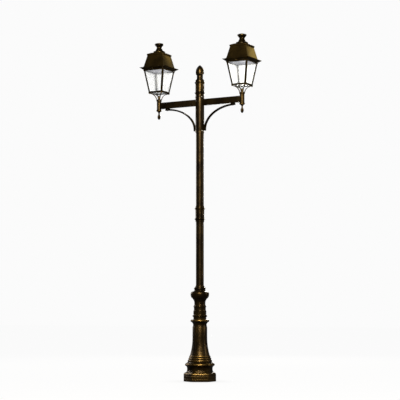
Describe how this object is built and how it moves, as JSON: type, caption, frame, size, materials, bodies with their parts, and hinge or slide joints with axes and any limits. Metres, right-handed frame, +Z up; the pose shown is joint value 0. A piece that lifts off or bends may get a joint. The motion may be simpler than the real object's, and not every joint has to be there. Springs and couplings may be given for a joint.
{
  "type": "street lamp post",
  "caption": "Tall cast-iron street lamp post with a hexagonal flared base, a straight shaft and square glazed lanterns on two opposed box arms.",
  "frame": {"origin": "centre of the underside of the hexagonal base, on the ground", "axes": "+Z up along the shaft, arms along X, access door in the -X face of the base, lantern roofs hinged on their +Y side"},
  "size_m": [2.02, 0.519, 5.558],
  "materials": {
    "bronze_iron": "dark bronze paint over cast iron, satin",
    "bronze_steel": "dark bronze paint on steel, satin",
    "bronze_sheet": "dark bronze paint on sheet metal, satin",
    "clear_glass": "clear",
    "opal_plastic": "opal, smooth",
    "white_sheet": "white stove enamel",
    "lamp_board": "white coated board with clear lenses",
    "driver_case": "plain",
    "grey_plastic": "fine moulded texture",
    "board_wood": "oiled hardwood",
    "plain_steel": "zinc plated",
    "bright_screws": "plain stainless, dull",
    "brass_stud": "plain"
  },
  "bodies": {
    "post": {"arm_left": "bronze_steel", "arm_right": "bronze_steel", "backboard": "board_wood", "backboard_screws": "plain_steel", "base_casting": "bronze_iron", "bracket_bolts": "bronze_steel", "bracket_left": "bronze_steel", "bracket_right": "bronze_steel", "cap_collar": "bronze_iron", "cradle_screws": "plain_steel", "crosshead_sleeve": "bronze_steel", "door_hinge_pins": "plain_steel", "drop_finial_left": "bronze_iron", "drop_finial_right": "bronze_iron", "earth_stud": "brass_stud", "fuse_box": "grey_plastic", "joint_collar": "bronze_iron", "latch_keepers": "bronze_steel", "left_bottom_frame": "bronze_steel", "left_bottom_pane": "clear_glass", "left_corner_posts": "bronze_steel", "left_cradle": "bronze_iron", "left_side_panes": "clear_glass", "left_top_frame": "bronze_steel", "lower_shaft": "bronze_steel", "pedestal_bolts": "plain_steel", "pedestal_casting": "bronze_iron", "post_finial": "bronze_iron", "right_bottom_frame": "bronze_steel", "right_bottom_pane": "clear_glass", "right_corner_posts": "bronze_steel", "right_cradle": "bronze_iron", "right_side_panes": "clear_glass", "right_top_frame": "bronze_steel", "roof_hinge_pins": "plain_steel", "set_screws": "bright_screws", "shaft_spigot": "plain_steel", "socket_left": "bronze_iron", "socket_right": "bronze_iron", "upper_shaft": "bronze_steel"},
    "door": {"access_door": "bronze_iron"},
    "lock": {"door_lock": "plain_steel"},
    "left_roof": {"left_roof_skirt": "bronze_sheet", "left_roof_crown": "bronze_sheet", "left_chimney": "bronze_sheet", "left_chimney_cap": "bronze_sheet", "left_optic_tray": "white_sheet", "left_diffuser": "opal_plastic", "left_led_module": "lamp_board", "left_driver": "driver_case"},
    "right_roof": {"right_roof_skirt": "bronze_sheet", "right_roof_crown": "bronze_sheet", "right_chimney": "bronze_sheet", "right_chimney_cap": "bronze_sheet", "right_optic_tray": "white_sheet", "right_diffuser": "opal_plastic", "right_led_module": "lamp_board", "right_driver": "driver_case"},
    "left_latch": {"left_roof_latch": "plain_steel"},
    "right_latch": {"right_roof_latch": "plain_steel"}
  },
  "joints": [
    {"name": "door_hinge", "type": "hinge", "parent": "post", "child": "door", "pos_m": [-0.11806, 0.046, 0.733], "axis": [0, 0, -1], "range_deg": [0, 110]},
    {"name": "door_lock_turn", "type": "hinge", "parent": "door", "child": "lock", "pos_m": [-0.1, -0.024, 0.733], "axis": [1, 0, 0], "range_deg": [0, 90]},
    {"name": "left_roof_hinge", "type": "hinge", "parent": "post", "child": "left_roof", "pos_m": [-0.774, 0.203, 5.098], "axis": [-1, 0, 0], "range_deg": [0, 100]},
    {"name": "left_latch_turn", "type": "hinge", "parent": "left_roof", "child": "left_latch", "pos_m": [-0.774, -0.208, 5.09], "axis": [0, 0, 1], "range_deg": [0, 90]},
    {"name": "right_roof_hinge", "type": "hinge", "parent": "post", "child": "right_roof", "pos_m": [0.774, 0.203, 5.098], "axis": [-1, 0, 0], "range_deg": [0, 100]},
    {"name": "right_latch_turn", "type": "hinge", "parent": "right_roof", "child": "right_latch", "pos_m": [0.774, -0.208, 5.09], "axis": [0, 0, 1], "range_deg": [0, 90]}
  ]
}
